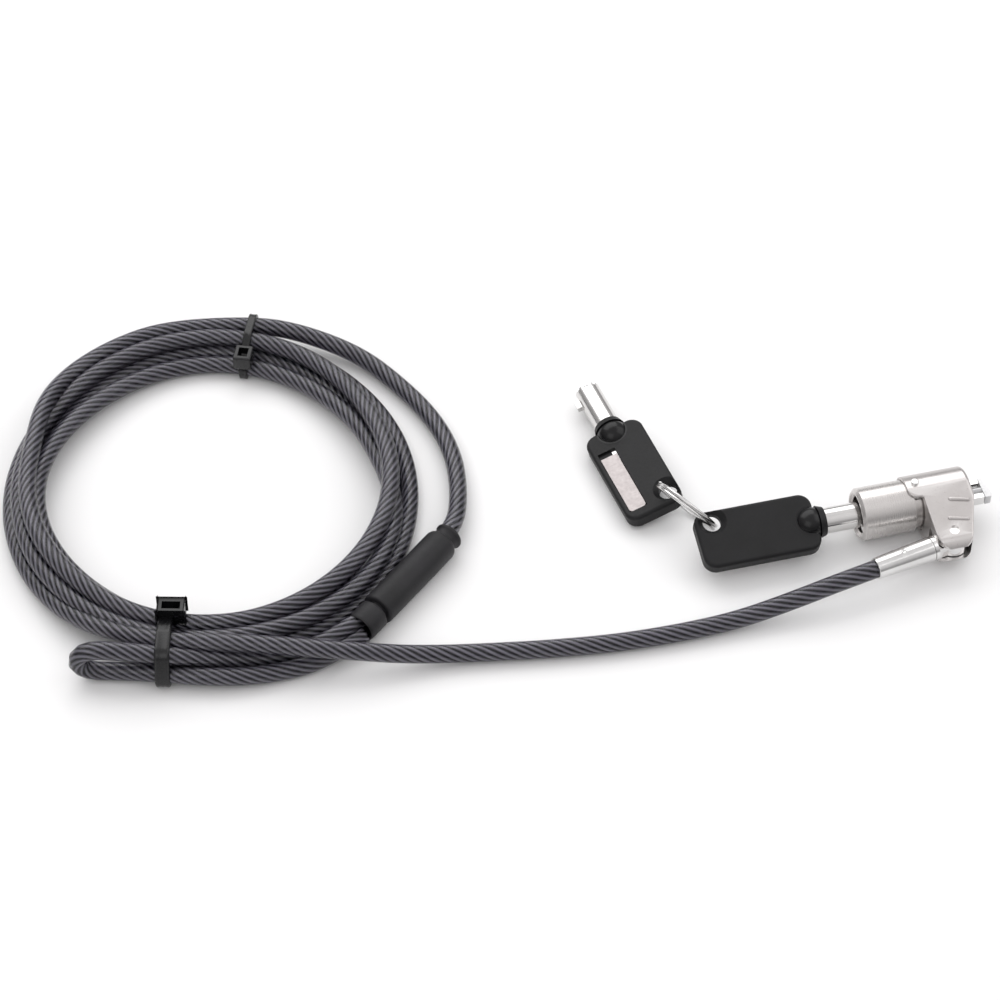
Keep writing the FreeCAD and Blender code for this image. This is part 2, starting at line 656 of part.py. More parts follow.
def main():
    os.makedirs("parts", exist_ok=True)
    cords = {"cable_run": run_points(), "cable_tail": tail_points(), "cable_eye": eye_points()}
    beside = [eye_fittings()]
    for name, points in cords.items():
        shape = cord_tube(name, points)
        save(name, shape)
        beside.append(shape)
    coil_and_ties(beside)
    ferrule()
    yoke()
    barrel()
    pin_housing()
    nose_block()
    plug()
    spindle()
    keys()
    split_ring()


main()
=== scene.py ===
import bmesh
import bpy
import math
from mathutils import Matrix, Vector


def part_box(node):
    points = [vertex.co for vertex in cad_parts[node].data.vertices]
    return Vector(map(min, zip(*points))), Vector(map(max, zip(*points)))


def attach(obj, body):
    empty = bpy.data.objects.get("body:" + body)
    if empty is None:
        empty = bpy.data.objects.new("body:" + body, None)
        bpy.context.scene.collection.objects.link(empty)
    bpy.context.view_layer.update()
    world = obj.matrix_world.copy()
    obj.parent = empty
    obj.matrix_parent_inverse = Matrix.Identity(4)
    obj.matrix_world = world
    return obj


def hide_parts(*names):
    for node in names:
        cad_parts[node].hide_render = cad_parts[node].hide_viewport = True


# Laptop cable lock: the steel cable in its tied coil, the eye and its sleeve, the lock head and
# two tubular keys. Everything is in metres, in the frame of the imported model.

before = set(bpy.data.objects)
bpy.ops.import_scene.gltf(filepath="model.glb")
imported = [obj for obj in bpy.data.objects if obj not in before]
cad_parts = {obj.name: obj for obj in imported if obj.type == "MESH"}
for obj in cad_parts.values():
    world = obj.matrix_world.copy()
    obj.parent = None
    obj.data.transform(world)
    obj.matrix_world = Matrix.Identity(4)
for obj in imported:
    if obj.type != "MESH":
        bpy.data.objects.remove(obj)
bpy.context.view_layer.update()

# ---- places and sizes ----
LOCK = Vector((0.01182, -0.01964, 0))       # the mouth of the lock, seen from above
AXIS_Z = 0.0072
CABLE_R = 0.00225                           # over the clear jacket
CABLE_D = 2 * CABLE_R
STRAND_R = 0.00196                          # over the strands, inside the jacket
STRAND_DEPTH = 0.0005                       # depth of the valleys between the strands
LOBES = 8                                   # strands that show round the cable
LAY = 0.022                                 # length in which a strand goes once round
LINE_STEP = 0.001
PIVOT = Vector((0.0203, -0.0139, AXIS_Z))
FERRULE_ANGLE = math.radians(190.7)
FERRULE_DIR = Vector((math.cos(FERRULE_ANGLE), math.sin(FERRULE_ANGLE), 0))
CABLE_SEAT = 0.015
COIL_C = Vector((-0.1526, 0.0487, 0))
COIL_R = 0.0463                             # mean radius of the turns, before its bulges
BULGES = [                                  # direction and spread in degrees, height
    (96, 28, 0.0049),
    (-42, 22, 0.0017),
    (-90, 40, 0.0006),
]
SLEEVE_A = Vector((-0.0979, 0.0203, 0.0044))
SLEEVE_B = Vector((-0.1260, -0.0037, 0.0044))
SLEEVE_R = 0.0042
NECK_LEN = 0.0060                           # the sleeve's narrower end, as far as its groove
LEG_SIDE = 0.00135                          # how far each leg of the eye leaves the sleeve's axis, sideways
LEG_RISE = 0.00125                          # and up or down
RING_R = 0.0086                             # mean radius, smaller than the plain ring's 9.6 mm
RING_DROP = Vector((0.5587, 0.0637, -0.8268)) * 0.0030   # from the plain ring's centre to this one's
RING_WIRE_R = 0.00046
RING_PITCH = 0.00047                        # half the distance between its two turns
RING_NORMAL = Vector((0.735, 0.423, 0.530))
KEY_A_BOSS = Vector((-0.0502, 0.0430, 0.00415))
KEY_B_BOSS = Vector((-0.0118, 0, AXIS_Z))
VIEW_TURN = math.radians(14)                # the camera looks 14 degrees off the lock's +Y
VIEW_FROM = (-0.2199, -0.5196, 0.6317)
VIEW_TO = (-0.0823, 0.0323)
FLOOR_HALF = 3.0


def at(x, y, z=0.0):
    """A place given from the lock's mouth."""
    return LOCK + Vector((x, y, z))


# ---- camera ----
def make_camera():
    data = bpy.data.cameras.new("camera")
    data.lens = 122.4
    data.sensor_width = 36
    data.clip_start = 0.01
    cam = bpy.data.objects.new("camera", data)
    bpy.context.scene.collection.objects.link(cam)
    eye = at(*VIEW_FROM)
    target = at(*VIEW_TO)
    cam.location = eye
    cam.rotation_mode = "QUATERNION"
    cam.rotation_quaternion = (target - eye).to_track_quat("-Z", "Y")
    bpy.context.scene.camera = cam


# ---- the cable's line ----
def run_points():
    """From inside the ferrule down to the table and up over the eye's leg.

    It passes up to 3.6 mm nearer to the lock's axis than the plain cable_run solid does.
    """
    return [LOCK + PIVOT + FERRULE_DIR * CABLE_SEAT, LOCK + PIVOT + FERRULE_DIR * 0.0295] + [at(*p) for p in [
        (-0.023, -0.0207, 0.0046),
        (-0.037, -0.0218, 0.0027),
        (-0.051, -0.0220, 0.00235),
        (-0.066, -0.0214, 0.0023),
        (-0.082, -0.0194, 0.00235),
        (-0.096, -0.0170, 0.0024),
        (-0.108, -0.0151, 0.0029),
        (-0.119, -0.0138, 0.0046),
        (-0.129, -0.0121, 0.0067),
        (-0.1385, -0.0099, 0.0079),
        (-0.147, -0.0071, 0.0084),
    ]]


def tail_points():
    """The last half turn, which stands off the coil, and runs into the sleeve."""
    return [at(*p) for p in [
        (-0.1310, 0.1022, 0.0059),
        (-0.1194, 0.0978, 0.0046),
        (-0.1062, 0.0879, 0.0030),
        (-0.0985, 0.0755, 0.0024),
        (-0.0926, 0.0620, 0.0023),
        (-0.0904, 0.0480, 0.0024),
        (-0.0923, 0.0340, 0.0030),
    ]] + [LOCK + SLEEVE_A + Vector((0.0012, 0.0011, 0)), LOCK + SLEEVE_A.lerp(SLEEVE_B, 0.72)]


def leg_start(side):
    """Where a leg of the eye leaves the sleeve's open end; side is 1 for the upper leg, -1 for the lower."""
    across = (SLEEVE_B - SLEEVE_A).normalized().cross(Vector((0, 0, 1)))
    return LOCK + SLEEVE_B + across * (side * LEG_SIDE) + Vector((0, 0, side * LEG_RISE))


def eye_points():
    """The eye's two legs: side by side at the sleeve, one over the other from the tie to the hairpin."""
    return [leg_start(1)] + [at(*p) for p in [
        (-0.1345, -0.0054, 0.0040),
        (-0.1440, -0.0063, 0.0026),
        (-0.1540, -0.0058, 0.0032),
        (-0.1635, -0.0047, 0.0055),
        (-0.1730, -0.0033, 0.0076),
        (-0.1820, -0.0013, 0.0092),
        (-0.1912, 0.0005, 0.0107),
        (-0.1942, 0.0009, 0.0066),
        (-0.1915, 0.0009, 0.00235),
        (-0.1840, -0.0011, 0.0024),
        (-0.1750, -0.0047, 0.0033),
        (-0.1660, -0.0082, 0.0035),
        (-0.1560, -0.0104, 0.0030),
        (-0.1460, -0.0108, 0.0024),
        (-0.1365, -0.0096, 0.0024),
    ]] + [leg_start(-1)]


def ease(x, a, b):
    """0 before a and 1 after b, smooth between; a may be above b."""
    t = min(1.0, max(0.0, (x - a) / (b - a)))
    return t * t * (3 - 2 * t)


def slot_place(slot, angle):
    """Where a strand lies in the bundle, in diameters: how far out, and how high its middle is.

    At the sides of the coil two strands lie on the table and up to three on them. Towards the
    front and back the pile slumps, so that three lie on the table and two on top.
    """
    slump = math.sin(angle) ** 2
    back = slump if math.sin(angle) > 0 else 0.0
    lean = math.radians(120 + 60 * slump)
    low = (-0.25 * (1 - slump), 0.5)
    high = (low[0] + 0.5, low[1] + 0.866)
    places = [
        (low[0] + 1, low[1]),
        low,
        (low[0] + math.cos(lean), low[1] + math.sin(lean)),
        (high[0] - 0.08 * back, high[1]),
        (high[0] + math.cos(lean), high[1] + math.sin(lean)),
    ]
    return places[slot]


def mean_radius(degrees):
    """The coil isn't quite round: it bulges at the back and a little near the right front."""
    radius = COIL_R
    for middle, spread, height in BULGES:
        off = (degrees - middle + 180) % 360 - 180
        radius += height * math.exp(-((off / spread) ** 2) / 2)
    return radius


# A pass leaves its place for the next one between these angles, in degrees, as seen in the view.
MOVES = [(-55, -90), (-20, -55), (20, -20), (60, 20)]
TURNS = 5
STEP = 15                                   # degrees between the points of the coil
FIRST = 276                                 # where the cable comes into the coil
LAST = 96                                   # and leaves it again


def coil_point(turn, degrees):
    a = math.radians(degrees)
    out, up = slot_place(turn, a)
    if turn < len(MOVES):
        to_out, to_up = slot_place(turn + 1, a)
        w = ease(degrees, *MOVES[turn])
        out += (to_out - out) * w
        up += (to_up - up) * w
    out += 0.05 * math.sin(3 * a + 2.1 * turn)
    if turn == 0:                           # comes in high, over the eye's leg
        w = 1 - ease(degrees, 262, 212)
        out += (1.15 - out) * w
        up += (1.86 - up) * w
    if turn == TURNS - 1:                   # crosses to the outside of the pile before it leaves
        w = ease(degrees, 175, 128)
        out += (1.38 - out) * w
        up += (1.36 - up) * w + 0.6 * 4 * w * (1 - w)
    reach = mean_radius(degrees) + out * CABLE_D
    place = Vector((reach * math.cos(a), reach * math.sin(a), up * CABLE_D))
    return LOCK + COIL_C + Matrix.Rotation(-VIEW_TURN, 3, "Z") @ place


def coil_points():
    """The turns, clockwise from the front."""
    points = []
    for turn in range(TURNS):
        first = FIRST if turn == 0 else 270
        last = LAST if turn == TURNS - 1 else -90 + STEP
        degrees = first
        while degrees >= last:
            points.append(coil_point(turn, degrees))
            degrees -= STEP
    return points


def spline_line(name, points):
    """The smooth line that has these control points, as the points of its evaluated curve."""
    curve = bpy.data.curves.new(name, "CURVE")
    curve.dimensions = "3D"
    curve.resolution_u = 12
    spline = curve.splines.new("NURBS")
    spline.points.add(len(points) - 1)
    for p, co in zip(spline.points, points):
        p.co = (*co, 1)
    spline.order_u = 3
    spline.use_endpoint_u = True
    holder = bpy.data.objects.new(name, curve)
    bpy.context.scene.collection.objects.link(holder)
    graph = bpy.context.evaluated_depsgraph_get()
    mesh = bpy.data.meshes.new_from_object(holder.evaluated_get(graph), depsgraph=graph)
    line = [v.co.copy() for v in mesh.vertices]
    bpy.data.objects.remove(holder)
    bpy.data.meshes.remove(mesh)
    return line


def even_line(line, step):
    """The same line with its points a fixed distance apart."""
    out = [line[0]]
    carry = 0.0
    for a, b in zip(line, line[1:]):
        length = (b - a).length
        while length > 0 and carry + length >= step:
            a = a + (b - a) * ((step - carry) / length)
            length = (b - a).length
            out.append(a)
            carry = 0.0
        carry += length
    if (line[-1] - out[-1]).length > step * 0.3:
        out.append(line[-1])
    return out


# ---- mesh helpers ----
def new_object(name, mesh, body):
    for face in mesh.polygons:
        face.use_smooth = True
    obj = bpy.data.objects.new(name, mesh)
    bpy.context.scene.collection.objects.link(obj)
    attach(obj, body)
    return obj


def sweep(name, line, radius, around, body, lobes=0, depth=0.0, lay=0.0):
    """A tube round a line. With lobes its section is scalloped like strands, and turns once in each lay."""
    bm = bmesh.new()
    uv = bm.loops.layers.uv.new("along")
    normal = None
    rings = []
    places = []
    travelled = 0.0
    for k, p in enumerate(line):
        ahead = line[min(k + 1, len(line) - 1)] - line[max(k - 1, 0)]
        ahead.normalize()
        if normal is None:
            normal = ahead.orthogonal().normalized()
        normal = (normal - ahead * normal.dot(ahead)).normalized()
        side = ahead.cross(normal)
        if k:
            travelled += (p - line[k - 1]).length
        twist = 2 * math.pi * travelled / lay if lay else 0.0
        ring = []
        for j in range(around):
            a = 2 * math.pi * j / around
            r = radius
            if lobes:
                r -= depth * (1 - abs(math.sin(lobes * a / 2)))
            b = a + twist
            ring.append(bm.verts.new(p + (normal * math.cos(b) + side * math.sin(b)) * r))
        rings.append(ring)
        places.append(travelled)
    for k in range(len(rings) - 1):
        for j in range(around):
            n = (j + 1) % around
            face = bm.faces.new((rings[k][j], rings[k][n], rings[k + 1][n], rings[k + 1][j]))
            face.smooth = True
            corners = ((places[k], j), (places[k], j + 1), (places[k + 1], j + 1), (places[k + 1], j))
            for loop, (u, v) in zip(face.loops, corners):
                loop[uv].uv = (u, v / around)
    bm.faces.new(reversed(rings[0]))
    bm.faces.new(rings[-1])
    mesh = bpy.data.meshes.new(name)
    bm.to_mesh(mesh)
    bm.free()
    return new_object(name, mesh, body)


def ring_strip(name, rings, body, closed=False, sharp=50):
    """Skin over rings with the same number of points each; sharp is the angle that stays an edge."""
    bm = bmesh.new()
    rows = [[bm.verts.new(p) for p in ring] for ring in rings]
    count = len(rows[0])
    pairs = list(zip(rows, rows[1:])) + ([(rows[-1], rows[0])] if closed else [])
    for a, b in pairs:
        for k in range(count):
            n = (k + 1) % count
            bm.faces.new((a[k], a[n], b[n], b[k]))
    if not closed:
        bm.faces.new(reversed(rows[0]))
        bm.faces.new(rows[-1])
    bmesh.ops.recalc_face_normals(bm, faces=bm.faces)
    mesh = bpy.data.meshes.new(name)
    bm.to_mesh(mesh)
    bm.free()
    obj = new_object(name, mesh, body)
    mesh.set_sharp_from_angle(angle=math.radians(sharp))
    return obj


def lathe(name, start, along, profile, body, around=56):
    """A turned piece: profile is a list of (distance along, radius)."""
    along = along.normalized()
    up = (Vector((0, 0, 1)) - along * along.z).normalized()
    side = along.cross(up)
    rings = []
    for s, r in profile:
        ring = []
        for k in range(around):
            a = 2 * math.pi * k / around
            ring.append(start + along * s + (up * math.cos(a) + side * math.sin(a)) * r)
        rings.append(ring)
    return ring_strip(name, rings, body)


def block(name, centre, half, across, outward, body):
    """A bevelled block with a square opening in its top; half is its half sizes outward, across and up."""
    bm = bmesh.new()
    bmesh.ops.create_cube(bm, size=2)
    for v in bm.verts:
        flat = outward * (v.co.x * half[0]) + across * (v.co.y * half[1])
        v.co = centre + flat + Vector((0, 0, v.co.z * half[2]))
    bmesh.ops.bevel(bm, geom=bm.edges[:], offset=HEAD_BEVEL, segments=3, profile=0.5, affect="EDGES")
    bm.normal_update()
    top = max(bm.faces, key=lambda f: f.normal.z * f.calc_area())
    bmesh.ops.inset_region(bm, faces=[top], thickness=HEAD_WALL)
    bmesh.ops.inset_region(bm, faces=[top], thickness=HEAD_WALL * 0.15, depth=-1.2 * half[2])
    bmesh.ops.recalc_face_normals(bm, faces=bm.faces)
    mesh = bpy.data.meshes.new(name)
    bm.to_mesh(mesh)
    bm.free()
    obj = new_object(name, mesh, body)
    mesh.set_sharp_from_angle(angle=math.radians(30))
    return obj


# ---- materials ----
def material(name, **sockets):
    m = bpy.data.materials.new(name)
    m.use_nodes = True
    shader = m.node_tree.nodes["Principled BSDF"]
    for key, value in sockets.items():
        shader.inputs[key.replace("_", " ")].default_value = value
    return m


def add_node(m, kind, **values):
    node = m.node_tree.nodes.new(kind)
    for key, value in values.items():
        setattr(node, key, value)
    return node


def wire_up(m, a, out, b, into):
    m.node_tree.links.new(a.outputs[out], b.inputs[into])


def noise(m, scale, size=1.0, detail=3.0, rough=0.55, coords=None):
    """Noise in the piece's own metres, stretched by scale, which may be one number or three."""
    if coords is None:
        coords = (add_node(m, "ShaderNodeTexCoord"), "Object")
    place = add_node(m, "ShaderNodeMapping")
    place.inputs["Scale"].default_value = scale if isinstance(scale, tuple) else (scale,) * 3
    wire_up(m, coords[0], coords[1], place, "Vector")
    tex = add_node(m, "ShaderNodeTexNoise")
    tex.inputs["Scale"].default_value = size
    tex.inputs["Detail"].default_value = detail
    tex.inputs["Roughness"].default_value = rough
    wire_up(m, place, "Vector", tex, "Vector")
    return tex


def ramp(m, source, out, stops):
    node = add_node(m, "ShaderNodeValToRGB")
    elements = node.color_ramp.elements
    while len(elements) < len(stops):
        elements.new(0.5)
    for element, (place, colour) in zip(elements, stops):
        element.position = place
        element.color = (*colour, 1)
    wire_up(m, source, out, node, "Fac")
    return node


def remap(m, source, out, low, high, to_low, to_high):
    node = add_node(m, "ShaderNodeMapRange")
    for socket, value in (("From Min", low), ("From Max", high), ("To Min", to_low), ("To Max", to_high)):
        node.inputs[socket].default_value = value
    wire_up(m, source, out, node, "Value")
    return node


def bump(m, source, out, strength, distance, under=None):
    node = add_node(m, "ShaderNodeBump")
    node.inputs["Strength"].default_value = strength
    node.inputs["Distance"].default_value = distance
    wire_up(m, source, out, node, "Height")
    if under is not None:
        wire_up(m, under, "Normal", node, "Normal")
    return node


def shader_of(m):
    return m.node_tree.nodes["Principled BSDF"]


def blended(m, fac, out, a, b):
    """Colour b where fac is 1, colour or node a where it is 0."""
    mix = add_node(m, "ShaderNodeMix", data_type="RGBA")
    wire_up(m, fac, out, mix, 0)
    m.node_tree.links.new(a.outputs["Color"], mix.inputs[6])
    mix.inputs[7].default_value = (*b, 1)
    return mix


def metal(name, dark, light, rough, grain, height, patch=90.0, worn=None, **sockets):
    """Metal: patchy tone, fine tool lines or grain, and edges rubbed a little brighter."""
    m = material(name, Metallic=1.0, **sockets)
    shader = shader_of(m)
    patches = noise(m, patch, detail=4)
    tone = ramp(m, patches, "Fac", [(0.3, dark), (0.7, light)])
    geometry = add_node(m, "ShaderNodeNewGeometry")
    edges = remap(m, geometry, "Pointiness", 0.52, 0.60, 0.0, 0.55)
    mixed = blended(m, edges, "Result", tone, worn or light)
    m.node_tree.links.new(mixed.outputs[2], shader.inputs["Base Color"])
    lines = noise(m, grain, detail=5, rough=0.65)
    spread = remap(m, lines, "Fac", 0.3, 0.7, *rough)
    wire_up(m, spread, "Result", shader, "Roughness")
    wire_up(m, bump(m, lines, "Fac", 0.35, height), "Normal", shader, "Normal")
    return m


def plastic(name, dark, light, rough, grain, height, patch=120.0, shine=None, **sockets):
    """Moulded plastic: fine grain and faint mottling. shine is a glossy ball: place, radius, roughness."""
    m = material(name, **sockets)
    shader = shader_of(m)
    patches = noise(m, patch, detail=4)
    tone = ramp(m, patches, "Fac", [(0.3, dark), (0.72, light)])
    wire_up(m, tone, "Color", shader, "Base Color")
    grains = noise(m, grain, detail=4, rough=0.6)
    spread = remap(m, grains, "Fac", 0.3, 0.7, *rough)
    if shine is None:
        wire_up(m, spread, "Result", shader, "Roughness")
        wire_up(m, bump(m, grains, "Fac", 0.4, height), "Normal", shader, "Normal")
        return m
    place, radius, gloss = shine
    coords = add_node(m, "ShaderNodeTexCoord")
    far = add_node(m, "ShaderNodeVectorMath", operation="DISTANCE")
    wire_up(m, coords, "Object", far, 0)
    far.inputs[1].default_value = place
    mask = remap(m, far, "Value", radius, radius * 1.06, 0.0, 1.0)
    mixed = add_node(m, "ShaderNodeMix", data_type="FLOAT")
    wire_up(m, mask, "Result", mixed, 0)
    mixed.inputs[2].default_value = gloss
    wire_up(m, spread, "Result", mixed, 3)
    wire_up(m, mixed, 0, shader, "Roughness")
    relief = bump(m, grains, "Fac", 0.4, height)
    faded = add_node(m, "ShaderNodeMath", operation="MULTIPLY")
    wire_up(m, mask, "Result", faded, 0)
    faded.inputs[1].default_value = 0.4
    wire_up(m, faded, 0, relief, "Strength")
    wire_up(m, relief, "Normal", shader, "Normal")
    return m


def rope_material():
    """Graphite strands with fine wires along each strand; painted shade darkens their flanks and the valleys
    between them, and their backs keep the strand's own tone.
    """
    m = material("rope", Metallic=0.8)
    shader = shader_of(m)
    along = add_node(m, "ShaderNodeUVMap", uv_map="along")
    split = add_node(m, "ShaderNodeSeparateXYZ")
    wire_up(m, along, "UV", split, 0)
    turn = add_node(m, "ShaderNodeMath", operation="MULTIPLY")
    wire_up(m, split, "Y", turn, 0)
    turn.inputs[1].default_value = math.pi * LOBES
    wave = add_node(m, "ShaderNodeMath", operation="SINE")
    wire_up(m, turn, 0, wave, 0)
    back = add_node(m, "ShaderNodeMath", operation="ABSOLUTE")
    wire_up(m, wave, 0, back, 0)
    # painted shade: the colour goes from the strand's own tone on its back down to near black in the valleys
    # between strands, where shade falls
    valley_shade, flank_shade, crown = (0.002, 0.002, 0.003), (0.068, 0.066, 0.078), (0.32, 0.31, 0.355)
    tone = ramp(m, back, 0, [(0.0, valley_shade), (0.45, flank_shade), (1.0, crown)])
    wires = noise(m, (150, 47, 1), detail=4, rough=0.7, coords=(along, "UV"))
    worn = ramp(m, wires, "Fac", [(0.3, (0.6, 0.6, 0.6)), (0.7, (1.0, 1.0, 1.0))])
    mix = add_node(m, "ShaderNodeMix", data_type="RGBA", blend_type="MULTIPLY")
    mix.inputs[0].default_value = 1.0
    m.node_tree.links.new(tone.outputs["Color"], mix.inputs[6])
    m.node_tree.links.new(worn.outputs["Color"], mix.inputs[7])
    m.node_tree.links.new(mix.outputs[2], shader.inputs["Base Color"])
    wire_up(m, remap(m, wires, "Fac", 0.3, 0.7, 0.34, 0.5), "Result", shader, "Roughness")
    wire_up(m, bump(m, wires, "Fac", 0.5, 0.00008), "Normal", shader, "Normal")
    return m


def jacket_material():
    """Clear soft PVC with a glossy skin that is very slightly wavy, painted darker towards its rim as the
    camera sees it.
    """
    m = material("jacket", IOR=1.42, Transmission_Weight=1.0)
    shader = shader_of(m)
    haze = noise(m, 220, detail=2)
    tint = ramp(m, haze, "Fac", [(0.3, (0.84, 0.84, 0.88)), (0.7, (0.92, 0.92, 0.95))])
    # painted shade on the cable's sides, together with some real absorption in the slightly smoky PVC: the
    # colour darkens to near black where the jacket is seen edge-on
    rim_facing = add_node(m, "ShaderNodeLayerWeight")
    rim_facing.inputs["Blend"].default_value = 0.5
    edge = remap(m, rim_facing, "Facing", 0.45, 0.95, 0.0, 0.9)
    smoky_rim_shade = blended(m, edge, "Result", tint, (0.10, 0.10, 0.11))
    m.node_tree.links.new(smoky_rim_shade.outputs[2], shader.inputs["Base Color"])
    wire_up(m, remap(m, haze, "Fac", 0.3, 0.7, 0.13, 0.22), "Result", shader, "Roughness")
    wire_up(m, bump(m, noise(m, 600, detail=2), "Fac", 0.12, 0.0001), "Normal", shader, "Normal")
    return m


# Metals: name, darker and lighter tone, roughness range, grain and its depth, rubbed edges, patchiness.
METALS = {
    "nickel": ("satin_nickel", (0.52, 0.495, 0.48), (0.60, 0.575, 0.56), (0.24, 0.33), (5000, 160, 160),
               0.000006, (0.80, 0.78, 0.77), 90.0),
    "yoke": ("satin_cast_nickel", (0.52, 0.495, 0.485), (0.60, 0.575, 0.565), (0.26, 0.36), 2600,
             0.00001, (0.80, 0.78, 0.77), 90.0),
    "bright": ("bright_nickel", (0.66, 0.655, 0.65), (0.76, 0.755, 0.75), (0.12, 0.20), 1800,
               0.00001, None, 90.0),
    "tube": ("key_tube_nickel", (0.62, 0.61, 0.60), (0.74, 0.73, 0.72), (0.13, 0.22), (4000, 400, 400),
             0.00001, None, 90.0),
    "wire": ("ring_steel", (0.58, 0.575, 0.57), (0.72, 0.715, 0.71), (0.16, 0.27), 1500,
             0.00001, None, 90.0),
    "label": ("label_metal", (0.30, 0.27, 0.27), (0.47, 0.435, 0.43), (0.38, 0.55), (900, 3200, 900),
              0.00004, None, 900.0),
    "steel": ("steel", (0.42, 0.42, 0.425), (0.56, 0.56, 0.565), (0.25, 0.4), 1500,
              0.00002, None, 90.0),
    "brass": ("brass", (0.60, 0.43, 0.19), (0.74, 0.56, 0.28), (0.22, 0.38), 1800,
              0.00002, None, 90.0),
    "crimp": ("crimp_aluminium", (0.55, 0.555, 0.56), (0.68, 0.685, 0.69), (0.35, 0.5), 1200,
              0.00003, None, 90.0),
}
BOW_BLACK = ((0.003, 0.003, 0.0035), (0.007, 0.007, 0.008))
TIE_BLACK = ((0.003, 0.003, 0.0035), (0.006, 0.006, 0.007))
COVER_BLACK = ((0.009, 0.009, 0.010), (0.017, 0.016, 0.019))
BOSS_GLOSS = (0.0043, 0.24)                 # radius of the glossy ball on a bow, and its roughness


def make_materials():
    made = {}
    for key, (name, dark, light, rough, grain, height, worn, patch) in METALS.items():
        made[key] = metal(name, dark, light, rough, grain, height, patch=patch, worn=worn)
    for key, boss in (("a", KEY_A_BOSS), ("b", KEY_B_BOSS)):
        made["bow_" + key] = plastic("key_" + key + "_plastic", *BOW_BLACK, (0.42, 0.58), 3000, 0.00007,
                                     shine=(LOCK + boss, *BOSS_GLOSS), Specular_IOR_Level=0.32)
    made["tie"] = plastic("tie_nylon", *TIE_BLACK, (0.20, 0.32), 1400, 0.00003, Specular_IOR_Level=0.45)
    made["cover"] = plastic("sleeve_cover", *COVER_BLACK, (0.46, 0.60), 2600, 0.00006,
                            Specular_IOR_Level=0.35)
    return made


NODE_FINISH = {
    "nickel": ["lock_barrel"],
    "yoke": ["yoke"],
    "bright": ["cable_ferrule", "ferrule_tongue", "nose_block", "swivel_pin", "yoke_pivot_pin"],
    "tube": ["key_a_tube", "key_b_tube"],
    "wire": ["split_ring"],
    "label": ["key_a_label_plate", "key_b_label_plate"],
    "steel": ["t_bar", "spindle", "spindle_clip", "housing_cross_pin", "driver_springs"],
    "brass": ["lock_plug", "pin_housing", "key_pins", "driver_pins"],
    "crimp": ["eye_crimp"],
    "bow_a": ["key_a_bow"],
    "bow_b": ["key_b_bow"],
    "tie": ["cable_tie_top", "cable_tie_bottom"],
    "cover": ["eye_sleeve", "eye_sleeve_collar", "cable_coil", "cable_run", "cable_tail", "cable_eye"],
}


def finish_nodes(finishes):
    for finish, names in NODE_FINISH.items():
        for name in names:
            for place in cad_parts[name].material_slots:
                place.material = finishes[finish]


# ---- the ties ----
TIE_REACH = 0.053                           # from the coil's middle to the middle of the tied strands
TIE_SPAN = (0.036, 0.066)                   # strands that cross its plane between these are held by a tie
TIE_AROUND = 140
TIE_SLACK = 0.00005
TABLE_GAP = 0.0002
HEAD_WALL = 0.0009
HEAD_BEVEL = 0.00045
# The strap's section: across its width, then out from the cable, as parts of its width and thickness.
STRAP = [(-0.5, 0.0), (-0.5, 0.62), (-0.44, 0.92), (-0.34, 1.0), (-0.22, 0.90), (0.22, 0.90), (0.34, 1.0),
         (0.44, 0.92), (0.5, 0.62), (0.5, 0.0)]


def tie(name, line, degrees, middle, width, wall, head_at, head_size, head_shift, replaced, m):
    """A strap pulled tight round every strand that crosses its upright plane, and its square head.

    The plane goes through middle, and degrees is the way it faces out of the coil.
    """
    a = math.radians(degrees)
    outward = Vector((math.cos(a), math.sin(a), 0))
    across = Vector((-math.sin(a), math.cos(a), 0))
    centre = middle - outward * TIE_REACH
    strands = []
    for p, q in zip(line, line[1:]):
        before, after = (p - centre).dot(across), (q - centre).dot(across)
        if before * after <= 0 and before != after:
            cross = p.lerp(q, before / (before - after))
            reach = (cross - centre).dot(outward)
            if TIE_SPAN[0] < reach < TIE_SPAN[1]:
                strands.append((reach, cross.z))
    rings = []
    for k in range(TIE_AROUND):
        b = 2 * math.pi * k / TIE_AROUND
        dx, dz = math.cos(b), math.sin(b)
        reach, z = max(strands, key=lambda c: c[0] * dx + c[1] * dz)
        ring = []
        for s, t in STRAP:
            r = CABLE_R + TIE_SLACK + t * wall
            high = max(z + dz * r, TABLE_GAP + TIE_SLACK * t)
            flat = outward * (reach + dx * r) + across * (s * width)
            ring.append(centre + flat + Vector((0, 0, high)))
        rings.append(ring)
    strap = ring_strip(name, rings, "cable", closed=True)
    half = [size / 2 for size in head_size]
    flat = outward * (head_at[0] - half[0]) + across * head_shift
    place = centre + flat + Vector((0, 0, head_at[1] + half[2]))
    head = block(name + "_head", place, half, across, outward, "cable")
    for piece in (strap, head):
        piece.data.materials.append(m)
    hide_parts(replaced)
    return [strap, head]


